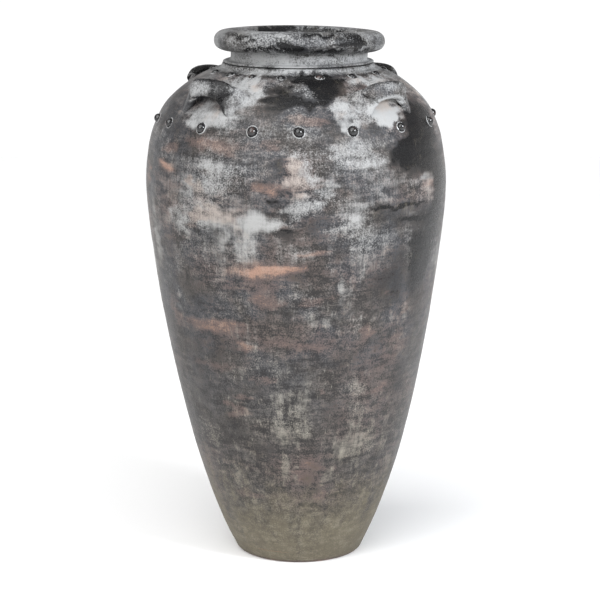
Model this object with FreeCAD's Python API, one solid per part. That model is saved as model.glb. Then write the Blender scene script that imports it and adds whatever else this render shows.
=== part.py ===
import FreeCAD
import Part
import math
import os

# Large coil-built clay storage jar, in millimetres, +Z up.
# The origin is the centre of the base, on the surface that the jar stands on.
# Azimuth 0 is the front of the jar, at -Y, and azimuths grow towards +X.

# Body wall
base_radius = 130.5
base_edge_round = 6.0
belly_radius = 309.5
belly_height = 800.0
shoulder_rise = 228.0
wall_thickness = 22.0
floor_thickness = 32.0

# Outer wall from the base up to the belly:
# shares of the belly's height, and of the way from the base's radius to the belly's
lower_outline_shares = [
    (0.0, 0.0), (0.066, 0.14), (0.158, 0.304), (0.289, 0.492), (0.421, 0.635),
    (0.578, 0.779), (0.736, 0.893), (0.868, 0.966), (1.0, 1.0),
]
# Outer wall from the belly up to the neck's seat:
# shares of the way up, and of the way from the seat's radius to the belly's
upper_outline_shares = [
    (0.227, 0.972), (0.412, 0.919), (0.55, 0.843), (0.661, 0.755), (0.753, 0.639),
    (0.845, 0.4815), (0.918, 0.323), (0.965, 0.169), (1.0, 0.0),
]

# Zones of clay that the wall is raised in, each luted on the one below with a sloping joint:
# the lowest joint is under the floor's face, and the highest is under the shoulder's pellets
wall_ring_count = 6
foot_joint_drop = 6.0
shoulder_joint_drop = 37.0
joint_angle = 20.0

# Neck, from its seat on the shoulder up
neck_radius = 140.0
neck_wall = 20.0
neck_root_flare = 8.0
neck_seat_ledge = 2.0
neck_height = 29.5
flange_reach = 14.5
flange_lift = 8.5
flange_rise = 6.0
# Flange: shares of the way from the neck out to the flange's edge, and of the flange's rise
flange_outline_shares = [(0.93, 0.0), (1.0, 0.2), (0.92, 0.4), (0.5, 0.62), (0.1, 0.78), (0.0, 1.0)]

# Band of clay laid round the foot of the neck
collar_groove = 2.0
collar_ledge = 7.0
collar_width = 16.5
collar_drop = 12.0
# Shares of the way from the band's top edge out to its lower edge, and of its drop
collar_outline_shares = [(0.0, 0.0), (0.09, 0.3), (0.17, 0.54), (0.42, 0.72), (0.82, 0.86), (1.0, 1.0)]

# Rolled rim
rim_height = 42.5
rim_overhang = 34.5
rim_lip_rise = 1.22
# Outside of the roll: shares of the way from the neck's face out to the rim, and of the roll's height
rim_outer_shares = [
    (0.0, 0.0), (0.58, 0.07), (0.89, 0.224), (1.0, 0.47), (0.9, 0.776), (0.65, 0.94), (0.27, 1.0),
]
# Inside of the roll: shares of the way from the bore out to the neck's face, and of the roll's height;
# the roll then ends at the bore, a small lip over its joint with the neck
rim_inner_shares = [(0.85, 0.958), (0.35, 0.765), (0.075, 0.48)]

# Row of pellets round the shoulder, and the finer row under the collar band, both spaced by eye;
# each row hangs a drop below the neck's seat
shoulder_stud_radius = 9.6
shoulder_stud_rise = 9.4
shoulder_stud_drop = 103.0
shoulder_stud_azimuths = [
    1.0, 23.0, 46.5, 69.5, 98.0, 122.0, 144.0, 165.0,
    186.5, 208.0, 229.0, 250.0, 280.0, 297.0, 319.0, 342.5,
]
neck_stud_radius = 7.8
neck_stud_rise = 4.6
neck_stud_drop = 8.0
neck_stud_azimuths = [
    14.5, 38.0, 63.0, 95.0, 116.0, 137.0, 157.5, 178.0,
    198.5, 219.0, 240.0, 261.0, 288.5, 310.5, 329.5, 349.5,
]
stud_seat_depth = 3.0

# Four strap handles that arch over the shoulder, set by eye: each one's azimuth,
# and the share of the crown's drop below the neck's seat at which its middle stands
handle_places_shares = {
    "handle_front_right": (43.5, 1.2),
    "handle_back_right": (137.0, 1.2),
    "handle_back_left": (230.0, 1.28),
    "handle_front_left": (317.5, 1.0),
}
handle_crown_drop = 25.0
handle_seat_drop = 64.4
handle_stand_off = 3.58
handle_half_span = 68.0
handle_drop = 39.0
handle_draw_in = 23.0
handle_thickness = 17.0
handle_width = 35.0
handle_root_width = 54.0
handle_lean_angle = 20.0
handle_root_lean_angle = 46.0
handle_edge_share = 0.44
# Half of the strap's centre line, from its middle to its root: shares of the half span,
# of the drop, of the draw-in, and of the change from middle to root in width and lean
handle_path_shares = [
    (0.0, 0.0, 0.0, 0.0), (0.34, 0.05, 0.07, 0.1), (0.62, 0.31, 0.39, 0.4),
    (0.83, 0.64, 0.74, 0.85), (1.0, 1.0, 1.0, 1.0),
]

# How far cutting shapes run past what they cut
overrun = 10.0

# How often a stretch of curve is halved to find a height on it
halvings = 40

# Heights and radii that follow from the sizes above
bore_radius = neck_radius - neck_wall
neck_root_radius = neck_radius + neck_root_flare
flange_radius = neck_radius + flange_reach
collar_top_radius = neck_root_radius + collar_ledge
collar_radius = collar_top_radius + collar_width
rim_radius = neck_radius + rim_overhang
shoulder_top_radius = neck_root_radius + neck_seat_ledge
shoulder_height = belly_height + shoulder_rise
flange_underside_height = shoulder_height + flange_lift
neck_top_height = shoulder_height + neck_height
shoulder_stud_height = shoulder_height - shoulder_stud_drop
neck_stud_height = shoulder_height - neck_stud_drop
foot_joint_height = floor_thickness - foot_joint_drop
shoulder_joint_height = shoulder_stud_height - shoulder_joint_drop

Z_AXIS = FreeCAD.Vector(0, 0, 1)
ORIGIN = FreeCAD.Vector(0, 0, 0)
LITRE = 1e6


def at(radius, height):
    """Point of the section plane that is spun round the jar's axis."""
    return FreeCAD.Vector(radius, 0, height)


def between(start, end, share):
    return start + (end - start) * share


def spline(points):
    curve = Part.BSplineCurve()
    curve.interpolate(points)
    return curve


def polygon_face(points):
    return Part.Face(Part.makePolygon(points + [points[0]]))


def closed_face(curve, corners):
    """Face inside a curve and the straight lines from its end through the corners back to its start."""
    path = [curve.EndPoint] + corners + [curve.StartPoint]
    lines = [Part.makeLine(a, b) for a, b in zip(path, path[1:])]
    return Part.Face(Part.Wire([curve.toShape()] + lines))


def spun(face):
    """Solid of revolution of a section face about the jar's axis."""
    return face.revolve(ORIGIN, Z_AXIS, 360)


def round_the_jar(shape, azimuth):
    """Copy of a shape made at the front of the jar, carried round to its azimuth."""
    copy = shape.copy()
    copy.rotate(ORIGIN, Z_AXIS, azimuth)
    return copy


# Wall sections

def outer_wall():
    """Outer face of the body in section, from the base's edge up to the neck's seat."""
    lower = [
        at(between(base_radius, belly_radius, out), belly_height * up)
        for up, out in lower_outline_shares
    ]
    upper = [
        at(between(shoulder_top_radius, belly_radius, out), between(belly_height, shoulder_height, up))
        for up, out in upper_outline_shares
    ]
    return lower + upper


outer_points = outer_wall()
outer_curve = spline(outer_points)


def outward_normal(parameter):
    """Normal of the body's outer face in section, away from the clay."""
    along = outer_curve.tangent(parameter)[0]
    return FreeCAD.Vector(along.z, 0, -along.x)


def wall_seat(height):
    """Point and outward normal of the body's outer face at a height, by halving."""
    low = outer_curve.FirstParameter
    high = outer_curve.LastParameter
    for _ in range(halvings):
        middle = (low + high) / 2
        if outer_curve.value(middle).z < height:
            low = middle
        else:
            high = middle
    return outer_curve.value(low), outward_normal(low)


def inner_wall():
    """Inner face: the outer points set in by the wall's thickness, then a turn up into the bore."""
    points = [
        point - outward_normal(outer_curve.parameter(point)) * wall_thickness
        for point in outer_points
    ]
    return points + [at(bore_radius, shoulder_height)]


body_section = closed_face(outer_curve, [at(0, shoulder_height), at(0, 0)])
body_solid = spun(body_section)


def wall_section():
    """Whole section of floor and wall, before it is divided into zones."""
    inner_curve = spline(inner_wall())
    cavity = closed_face(inner_curve, [at(0, shoulder_height), at(0, inner_curve.StartPoint.z)])
    floor = polygon_face([
        at(0, 0), at(belly_radius, 0), at(belly_radius, floor_thickness), at(0, floor_thickness),
    ])
    return body_section.cut(cavity.cut(floor))


def joint_line(height):
    """Ends of a zone joint that drops outwards and meets the outer face at a height.

    One end is on the jar's axis and the other is clear of the wall outside.
    """
    slope = math.tan(math.radians(joint_angle))
    radius = wall_seat(height)[0].x
    far = belly_radius + overrun
    return at(0, height + radius * slope), at(far, height - (far - radius) * slope)


def zone(section, low_line, high_line):
    return section.common(polygon_face([low_line[0], low_line[1], high_line[1], high_line[0]]))


def body_zones():
    """Foot slab, wall rings and shoulder ring, cut from one section by the joint lines."""
    far = belly_radius + overrun
    section = wall_section()
    step = (shoulder_joint_height - foot_joint_height) / wall_ring_count
    joints = [joint_line(foot_joint_height + step * i) for i in range(wall_ring_count + 1)]
    below = (at(0, -overrun), at(far, -overrun))
    above = (at(0, shoulder_height + overrun), at(far, shoulder_height + overrun))
    lines = [below] + joints + [above]
    rings = ["wall_ring_%d" % (i + 1) for i in range(wall_ring_count)]
    names = ["foot_slab"] + rings + ["shoulder_ring"]
    return {
        name: spun(zone(section, low, high))
        for name, low, high in zip(names, lines, lines[1:])
    }


def rounded_foot(foot):
    """Foot slab with its bottom edge worn round."""
    bottom = [
        edge for edge in foot.Edges
        if edge.BoundBox.ZMax < base_edge_round / 2 and edge.BoundBox.XMax > base_radius / 2
    ]
    return foot.makeFillet(base_edge_round, bottom)


# Neck, collar band and rim

def neck_joint():
    """Height of the joint between neck and rim at the bore; it drops outwards to the neck's top."""
    return neck_top_height + (neck_radius - bore_radius) * math.tan(math.radians(joint_angle))


def neck_ring():
    """Short neck with an undercut flange at its foot."""
    flange = spline([
        at(between(neck_radius, flange_radius, out), flange_underside_height + flange_rise * up)
        for out, up in flange_outline_shares
    ])
    return spun(closed_face(flange, [
        at(neck_radius, neck_top_height), at(bore_radius, neck_joint()), at(bore_radius, shoulder_height),
        at(neck_root_radius, shoulder_height), at(neck_root_radius, flange_underside_height),
    ]))


def collar_band():
    """Band that lies on the shoulder against the neck's root, a groove's width under the flange."""
    top = flange_underside_height - collar_groove
    outline = spline([
        at(between(collar_top_radius, collar_radius, out), top - collar_drop * down)
        for out, down in collar_outline_shares
    ])
    section = closed_face(outline, [
        at(collar_radius, shoulder_height - collar_drop - overrun),
        at(neck_root_radius, shoulder_height - collar_drop - overrun), at(neck_root_radius, top),
    ])
    return spun(section.cut(body_section))


def rim_roll():
    """Thick rolled rim that sits on the neck and hangs over it outside."""
    outside = [
        at(between(neck_radius, rim_radius, out), neck_top_height + rim_height * up)
        for out, up in rim_outer_shares
    ]
    inside = [
        at(between(bore_radius, neck_radius, out), neck_top_height + rim_height * up)
        for out, up in rim_inner_shares
    ]
    lip = at(bore_radius, neck_joint() + rim_lip_rise)
    return spun(closed_face(spline(outside + inside + [lip]), [at(bore_radius, neck_joint())]))


# Pellets

def stud(radius, rise, height):
    """Pellet at the front of the jar: a cap of a sphere over a short round root set into the wall."""
    centre = (rise * rise - radius * radius) / (2 * rise)
    sphere_radius = rise - centre
    half_way = math.atan2(radius, -centre) / 2
    cap = Part.Arc(
        at(radius, 0),
        at(sphere_radius * math.sin(half_way), centre + sphere_radius * math.cos(half_way)),
        at(0, rise),
    )
    section = closed_face(cap, [at(0, -stud_seat_depth), at(radius, -stud_seat_depth)])
    solid = spun(section)
    point, normal = wall_seat(height)
    facing = FreeCAD.Rotation(Z_AXIS, FreeCAD.Vector(0, -normal.x, normal.z))
    solid.Placement = FreeCAD.Placement(FreeCAD.Vector(0, -point.x, point.z), facing)
    return solid


def stud_row(name, radius, rise, height, azimuths):
    pellet = stud(radius, rise, height)
    return {
        "%s_%02d" % (name, i + 1): round_the_jar(pellet, azimuth)
        for i, azimuth in enumerate(azimuths)
    }


# Handles

def strap_stations(height):
    """Centre, outward direction and width of the strap at each station, from root to root.

    The strap's middle reaches as far out as the wall at the straps' seat, and a stand-off more.
    """
    reach = wall_seat(shoulder_height - handle_seat_drop)[0].x + handle_stand_off
    stations = []
    for side in (-1, 1):
        half = []
        for across, down, drawn, change in handle_path_shares:
            lean = math.radians(between(handle_lean_angle, handle_root_lean_angle, change))
            centre = FreeCAD.Vector(
                side * handle_half_span * across,
                -(reach - handle_draw_in * drawn),
                height - handle_drop * down,
            )
            plan = math.hypot(centre.x, centre.y)
            outward = FreeCAD.Vector(
                change * math.cos(lean) * centre.x / plan,
                math.cos(lean) * centre.y / plan,
                math.sin(lean),
            )
            half.append((centre, outward, between(handle_width, handle_root_width, change)))
        stations += half[::-1] if side < 0 else half[1:]
    return stations


def strap_loop(centre, along, outward, width):
    """Rounded rectangle across the strap: two flat faces, and two edges that are full arcs."""
    outward = (outward - along * along.dot(outward)).normalize()
    across = along.cross(outward)
    half_thickness = handle_thickness / 2
    edge = handle_thickness * handle_edge_share
    flat = width / 2 - edge

    def corner(side, out, bulge):
        return centre + across * (side * (flat + bulge)) + outward * (out * half_thickness)

    top_arc = Part.Arc(corner(1, 1, 0), corner(1, 0, edge), corner(1, -1, 0))
    bottom_arc = Part.Arc(corner(-1, -1, 0), corner(-1, 0, edge), corner(-1, 1, 0))
    return Part.Wire([
        top_arc.toShape(), Part.makeLine(corner(1, -1, 0), corner(-1, -1, 0)),
        bottom_arc.toShape(), Part.makeLine(corner(-1, 1, 0), corner(1, 1, 0)),
    ])


def handle(height):
    """Strap lofted along its arch, with both roots cut to the wall's outer face."""
    stations = strap_stations(height)
    centres = [station[0] for station in stations]
    path = [centres[0]] + centres + [centres[-1]]
    loops = [
        strap_loop(centre, (after - before).normalize(), outward, width)
        for (centre, outward, width), before, after in zip(stations, path, path[2:])
    ]
    return Part.makeLoft(loops, True, False).cut(body_solid)


# The whole jar

def jar():
    parts = body_zones()
    parts["foot_slab"] = rounded_foot(parts["foot_slab"])
    shoulder_studs = stud_row(
        "shoulder_stud", shoulder_stud_radius, shoulder_stud_rise,
        shoulder_stud_height, shoulder_stud_azimuths,
    )
    neck_studs = stud_row(
        "neck_stud", neck_stud_radius, neck_stud_rise,
        neck_stud_height, neck_stud_azimuths,
    )
    pellets = list(shoulder_studs.values()) + list(neck_studs.values())
    parts["shoulder_ring"] = parts["shoulder_ring"].cut(pellets)
    parts["neck_ring"] = neck_ring()
    parts["collar_band"] = collar_band().cut(list(neck_studs.values()))
    parts["rim_roll"] = rim_roll()
    for name, (azimuth, drop_share) in handle_places_shares.items():
        middle = shoulder_height - handle_crown_drop * drop_share
        parts[name] = round_the_jar(handle(middle), azimuth)
    parts.update(shoulder_studs)
    parts.update(neck_studs)
    return parts


os.makedirs("parts", exist_ok=True)
for name, shape in jar().items():
    litres = "%.3f litres" % (shape.Volume / LITRE)
    print(name, len(shape.Solids), "solid", "valid", shape.isValid(), litres)
    shape.exportStep("parts/%s.step" % name)
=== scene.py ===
"""Coil-built clay storage jar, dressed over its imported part: hand-worked surfaces and rubbed paint.

Lengths are in metres, +Z up. Azimuth 0 is the front of the jar, at -Y, and azimuths grow towards +X.
"""

import math

import bpy
import numpy as np
from bpy.props import FloatProperty, FloatVectorProperty, IntProperty, PointerProperty
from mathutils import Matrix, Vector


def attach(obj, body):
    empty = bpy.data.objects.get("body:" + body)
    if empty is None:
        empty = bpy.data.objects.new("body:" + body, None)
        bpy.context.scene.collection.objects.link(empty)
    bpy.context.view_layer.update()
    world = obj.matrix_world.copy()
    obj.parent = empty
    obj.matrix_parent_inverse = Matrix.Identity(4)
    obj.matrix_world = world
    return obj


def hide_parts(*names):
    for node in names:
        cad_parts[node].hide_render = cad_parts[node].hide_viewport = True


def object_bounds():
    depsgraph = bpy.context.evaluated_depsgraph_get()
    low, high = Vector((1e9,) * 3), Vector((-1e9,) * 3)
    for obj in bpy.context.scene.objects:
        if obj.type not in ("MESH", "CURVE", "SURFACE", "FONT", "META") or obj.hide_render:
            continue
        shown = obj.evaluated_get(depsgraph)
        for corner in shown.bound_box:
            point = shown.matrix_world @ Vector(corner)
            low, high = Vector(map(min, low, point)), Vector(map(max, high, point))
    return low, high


bl_info = {
    "name": "Coil-built storage jar",
    "version": (1, 0, 0),
    "blender": (4, 5, 0),
    "location": "View3D > Sidebar > Jar",
    "description": "Raises a clay storage jar from its zones and rubs its paint",
    "category": "Add Mesh",
}

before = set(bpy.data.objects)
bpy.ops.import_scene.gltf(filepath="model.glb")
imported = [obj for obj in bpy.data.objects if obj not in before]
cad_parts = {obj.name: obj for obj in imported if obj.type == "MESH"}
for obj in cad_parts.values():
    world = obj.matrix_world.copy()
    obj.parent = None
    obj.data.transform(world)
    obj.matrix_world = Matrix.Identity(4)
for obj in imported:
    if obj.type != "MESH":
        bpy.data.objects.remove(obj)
CAD_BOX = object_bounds()

BODY = "root"
ZONES = ["foot_slab"] + ["wall_ring_%d" % (i + 1) for i in range(6)] + ["shoulder_ring"]

# Outline of the body: shares of the belly's height, and of the way from the foot's radius to the belly's
LOWER_SHARES = [
    (0.0, 0.0), (0.066, 0.14), (0.158, 0.304), (0.289, 0.492), (0.421, 0.635),
    (0.578, 0.779), (0.736, 0.893), (0.868, 0.966), (1.0, 1.0),
]
# Shares of the way up from the belly to the neck's seat, and of the way from its radius to the belly's
UPPER_SHARES = [
    (0.227, 0.972), (0.412, 0.919), (0.55, 0.843), (0.661, 0.755), (0.753, 0.639),
    (0.845, 0.4815), (0.918, 0.323), (0.965, 0.169), (1.0, 0.0),
]
# Shares of the way from the neck out to the flange's edge, and of the flange's rise
FLANGE_SHARES = [(0.93, 0.0), (1.0, 0.2), (0.92, 0.4), (0.5, 0.62), (0.1, 0.78), (0.0, 1.0)]
# Shares of the way from the collar's top edge out to its lower edge, and of its drop
COLLAR_SHARES = [(0.0, 0.0), (0.09, 0.3), (0.17, 0.54), (0.42, 0.72), (0.82, 0.86), (1.0, 1.0)]
# Shares of the way from the neck's face out to the rim, and of the roll's height
RIM_OUTER_SHARES = [
    (0.0, 0.0), (0.58, 0.07), (0.89, 0.224), (1.0, 0.47), (0.9, 0.776), (0.65, 0.94), (0.27, 1.0),
]
# Shares of the way from the bore out to the neck's face, and of the roll's height
RIM_INNER_SHARES = [(0.85, 0.958), (0.35, 0.765), (0.075, 0.48), (0.0, 0.2)]
# Half of a strap's centre line: shares of the half span, the drop, the draw-in and the change to its root
STRAP_SHARES = [
    (0.0, 0.0, 0.0, 0.0), (0.34, 0.05, 0.07, 0.1), (0.62, 0.31, 0.39, 0.4),
    (0.83, 0.64, 0.74, 0.85), (1.0, 1.0, 1.0, 1.0),
]

# Azimuths of the pellets in degrees
SHOULDER_PELLETS = [
    1.0, 23.0, 46.5, 69.5, 98.0, 122.0, 144.0, 165.0,
    186.5, 208.0, 229.0, 250.0, 280.0, 297.0, 319.0, 342.5,
]
NECK_PELLETS = [
    14.5, 38.0, 63.0, 95.0, 116.0, 137.0, 157.5, 178.0,
    198.5, 219.0, 240.0, 261.0, 288.5, 310.5, 329.5, 349.5,
]
# Each strap's azimuth in degrees, the height of its middle, and where its thumbed ridge runs, from its middle
STRAPS = {
    "handle_front_right": (43.5, 0.998, -0.004),
    "handle_back_right": (138.0, 0.998, 0.012),
    "handle_back_left": (230.0, 0.996, -0.010),
    "handle_front_left": (317.5, 1.003, 0.021),
}

# How far the jar's axis wanders sideways, by height
LEAN = [
    (0.0, 0.0031), (0.26, 0.0006), (0.47, -0.0008), (0.69, -0.0021),
    (0.87, -0.0030), (0.96, -0.0022), (1.036, 0.0008), (1.048, 0.0028), (1.1, 0.0033),
]

# Slow swells of the body: depth, waves round the jar, their turn per metre of height and their start
SWELLS = [(0.0007, 2, 4.2, 0.7), (0.0006, 3, -7.0, -1.3), (0.0004, 5, 15.0, 2.0)]

# Points of a finely sampled curve
CURVE_STEPS = 2000
# How far the lattices of the random fields reach above the floor and below it
LATTICE_HEIGHT, LATTICE_DEPTH = 1.3, 0.05
# Edges sharper than this many degrees aren't smoothed
SHARP_ANGLE = 55
# Radius at which the discs of the foot close, spacing of their rows, and width of the floor's corner
HUB, DISC_SPACING, FLOOR_CORNER = 0.004, 0.012, 0.004
# Spacing of the rows of points on each stretch of the neck, the collar and the rim
SPACING = {
    "neck_root": 0.002, "flange": 0.0013, "neck_face": 0.0022, "bore": 0.003, "collar_top": 0.003,
    "collar_slope": 0.0015, "collar_seat": 0.004, "rim": 0.0024, "rim_seat": 0.01,
}
# From the flange's slope up to the next row, and how far the collar reaches past its edge and into the wall
FLANGE_STEP, COLLAR_LIP, COLLAR_SINK = 0.001, 0.003, 0.001
# Faces along and round a strap, and the power that flattens its round section
STRAP_ROWS, STRAP_COLUMNS, SECTION_POWER = 72, 40, 0.667
# Share by which a strap's roots flare, breadth and height of its thumbed ridge, and height of its lumps
ROOT_FLARE, RIDGE_BREADTH, RIDGE_HEIGHT, LUMP_HEIGHT = 0.16, 0.007, 0.0016, 0.0004
# Faces round a pellet, rows of its round cap, and share of the cap's turn at which the tip closes
PELLET_COLUMNS, CAP_ROWS, TIP_SHARE = 28, 11, 0.06
# Edge of a pellet in the wall, and its skirt of slip: shares of its radius out and up, and pale wash on each
EDGE_SHARE = 0.9
SKIRT_SHARES = [(1.34, -0.13), (1.27, 0.01), (1.16, 0.045), (1.07, 0.09)]
SKIRT_WASH = [1.0, 1.0, 1.0, 0.95, 0.6]

# Depth of the relief of clay and of a pellet
CLAY_RELIEF, PELLET_RELIEF = 0.0007, 0.00006
# Heights of the painted shade lines: under the collar's foot, and in the groove under the flange
COLLAR_FOOT, GROOVE = 1.0212, 1.0350
NO_PAINT = {"wash": 0.0, "soot_and_shade": 0.0, "rust": 0.0, "khaki": 0.0}
# Colours that show in small shares
GREY_DUST, DEEP_SHADE, PELLET_BROWN = (0.14, 0.135, 0.13), (0.016, 0.015, 0.015), (0.05, 0.030, 0.026)
LOW_WASH, KHAKI_SHADE, KHAKI_DUST = (0.245, 0.222, 0.175), (0.095, 0.082, 0.058), (0.25, 0.23, 0.18)

# Soft boxes: place, size, power in watts and colour
SOFTBOXES = {
    "left_softbox": ((-2.0, -2.6, 2.0), (1.2, 1.6), 22.0, (1.0, 1.0, 1.0)),
    "right_softbox": ((2.2, -2.0, 2.2), (0.9, 1.1), 105.0, (0.93, 0.96, 1.0)),
}
SOFTBOX_AIM = (0.0, 0.0, 0.75)
# Breadth of the broad lamp in the sky, its tilt and its turn, in degrees
LAMP_BREADTH, LAMP_TILT, LAMP_TURN = 70, 38, -35
# Heights in the surroundings, as sines, where the sweep starts to fade and where it has faded
FADE_START, FADE_END = -0.03, 0.25
WHITE = (1.0, 1.0, 1.0, 1.0)
FLOOR_HALF, FLOOR_COLOUR, FLOOR_ROUGHNESS = 6.0, (0.93, 0.93, 0.93, 1.0), 0.9

# Marks of the finish: azimuth in degrees, then height, half breadth round the jar and half height in
# millimetres, and strength in hundredths. Two pale marks on the right shoulder are a painted sheen.
PALE_AND_SHEEN_MARKS = [
    (1, 846, 32, 44, 60), (1, 784, 43, 20, 70), (-13, 749, 50, 24, 85), (-18, 703, 23, 32, 40),
    (-35, 758, 61, 30, 45), (-36, 818, 61, 23, 35), (-29, 854, 60, 19, 35), (-39, 945, 68, 25, 75),
    (20, 968, 21, 23, 75), (41, 957, 52, 23, 210), (-29, 1005, 40, 13, 50), (-21, 982, 21, 21, 60),
    # (22, 931, ...) and (23, 880, ...) are a painted sheen: a highlight on the right shoulder, laid on as
    # pale wash
    (22, 931, 17, 15, 80), (23, 880, 60, 34, 45), (22, 770, 32, 30, 36), (13, 816, 28, 23, 45),
    (6, 581, 20, 50, 35), (17, 614, 12, 33, 40), (27, 543, 23, 21, 40), (-4, 306, 37, 48, 90),
    (-4, 379, 49, 31, 50), (31, 281, 55, 43, 80), (-4, 223, 20, 30, 90), (18, 203, 26, 22, 60),
    (28, 398, 21, 20, 50), (-46, 281, 33, 28, 40), (61, 205, 30, 40, 70), (-42, 200, 30, 40, 50),
    (-51, 749, 35, 33, 45), (-69, 683, 21, 54, 40), (5, 688, 24, 20, 30), (12, 549, 32, 17, 40),
    (-33, 606, 15, 34, 35), (-56, 558, 21, 40, 35), (6, 995, 21, 7, 50), (-48, 1004, 50, 14, 35),
    (-20, 1008, 35, 10, 20), (38, 1008, 55, 12, 35), (60, 1000, 40, 18, 30), (27, 972, 26, 42, 42),
    (16, 742, 26, 12, 30), (-15, 656, 62, 16, 16), (-80, 600, 22, 110, 30), (-76, 420, 20, 90, 30),
    (81, 620, 20, 100, 30), (78, 430, 18, 90, 34), (-48, 715, 12, 40, 30), (-27, 700, 10, 40, 25),
    (48, 700, 12, 30, 22), (-19, 498, 30, 21, 30), (2, 470, 24, 21, 25), (-33, 988, 23, 17, 40),
    (3, 1033, 53, 8, 50), (45, 1012, 64, 12, 45), (58, 814, 21, 60, 30), (69, 662, 42, 64, 20),
    (44, 557, 43, 22, 30), (-15, 338, 17, 31, 30),
]
DARK_MARKS = [
    (14, 1000, 48, 23, 100), (-8, 980, 47, 21, 60), (10, 1013, 60, 6, 100), (1, 976, 52, 8, 90),
    (-9, 993, 22, 16, 60), (46, 877, 55, 27, 110), (34, 928, 28, 13, 60), (53, 936, 40, 52, 60),
    (-69, 947, 27, 26, 50), (-6, 859, 16, 23, 50), (-10, 826, 24, 12, 40), (9, 747, 32, 28, 40),
    (-2, 726, 16, 16, 50), (42, 755, 90, 28, 50), (47, 638, 84, 76, 45), (-55, 642, 61, 73, 25),
    (-28, 681, 37, 21, 25), (3, 647, 55, 25, 35), (18, 695, 29, 32, 35), (-42, 485, 83, 53, 35),
    (-41, 591, 59, 30, 25), (24, 454, 59, 30, 30), (54, 421, 42, 56, 35), (-35, 305, 60, 41, 30),
    (7, 204, 25, 47, 35), (33, 146, 38, 40, 30), (-18, 258, 26, 37, 30), (16, 348, 30, 40, 30),
    (37, 510, 37, 26, 30), (-57, 924, 39, 25, 45), (-47, 880, 50, 15, 30), (-22, 487, 22, 43, 30),
    (55, 355, 34, 72, 25), (-26, 403, 42, 22, 25), (58, 880, 50, 40, 110), (64, 930, 50, 50, 100),
    (52, 845, 60, 18, 50), (70, 790, 60, 100, 80), (60, 700, 60, 80, 65), (62, 600, 60, 100, 50),
    (34, 600, 60, 50, 25), (-70, 600, 40, 120, 25), (-50, 400, 50, 60, 25), (-6, 1072, 28, 14, 130),
    (37, 1080, 36, 13, 130), (16, 1064, 40, 5, 100), (-60, 1072, 30, 9, 90), (-33, 1084, 20, 7, 90),
    (52, 1063, 50, 5, 80), (150, 1088, 50, 10, 100), (185, 1090, 60, 9, 100), (212, 1086, 50, 11, 90),
    (-22, 1063, 50, 5, 80), (8, 1097, 45, 4, 60), (75, 1080, 30, 12, 50), (-20, 1034, 30, 6, 60),
    (15, 1023, 50, 3, 50), (-45, 1026, 40, 3, 50), (40, 770, 90, 4, 80), (52, 742, 70, 4, 70),
    (-10, 797, 32, 4, 80), (-3, 812, 22, 4, 70), (-22, 870, 55, 4, 60), (-2, 738, 34, 4, 60),
    (12, 880, 8, 30, 50), (-30, 790, 6, 30, 40), (30, 560, 70, 4, 50), (20, 1093, 60, 4, 70),
    (-45, 1095, 50, 4, 70), (-12, 1086, 18, 6, 70),
]
RUST_MARKS = [
    (-59, 848, 26, 10, 90), (-74, 819, 15, 28, 80), (-57, 879, 28, 8, 50), (-34, 894, 63, 13, 36),
    (-9, 902, 22, 11, 50), (-30, 895, 90, 14, 25), (-9, 818, 28, 12, 75), (-44, 827, 14, 8, 50),
    (-11, 654, 68, 15, 90), (-12, 592, 41, 19, 60), (-38, 530, 93, 13, 70), (-62, 537, 27, 37, 50),
    (-22, 493, 20, 13, 60), (-41, 749, 33, 20, 40), (6, 690, 28, 6, 60), (3, 659, 8, 8, 90),
    (6, 591, 28, 10, 50), (31, 526, 17, 19, 50), (39, 599, 8, 6, 50), (46, 560, 13, 11, 40),
    (5, 946, 50, 12, 55), (58, 810, 34, 8, 60), (-30, 350, 27, 20, 60), (-26, 384, 32, 7, 40),
    (-14, 425, 21, 13, 35), (41, 397, 20, 11, 40), (8, 171, 25, 12, 40), (-31, 166, 26, 15, 50),
    (13, 397, 10, 9, 50), (7, 227, 25, 32, 35), (2, 502, 60, 11, 30), (-38, 445, 75, 11, 30),
    (47, 481, 26, 31, 30), (1, 846, 34, 44, 50), (-29, 758, 50, 20, 20), (-58, 790, 50, 80, 28),
    (-78, 760, 20, 90, 30), (-14, 640, 70, 34, 28),
]


# Sizes and colours that can be set

def a_length(name, description, default):
    return FloatProperty(name=name, description=description, default=default, unit="LENGTH")


def an_angle(name, description, degrees):
    return FloatProperty(name=name, description=description, default=math.radians(degrees), subtype="ANGLE")


def a_number(name, description, default):
    return FloatProperty(name=name, description=description, default=default)


def a_colour(name, description, default):
    return FloatVectorProperty(
        name=name, description=description, default=default, subtype="COLOR", size=3, min=0.0, max=1.0)


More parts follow.
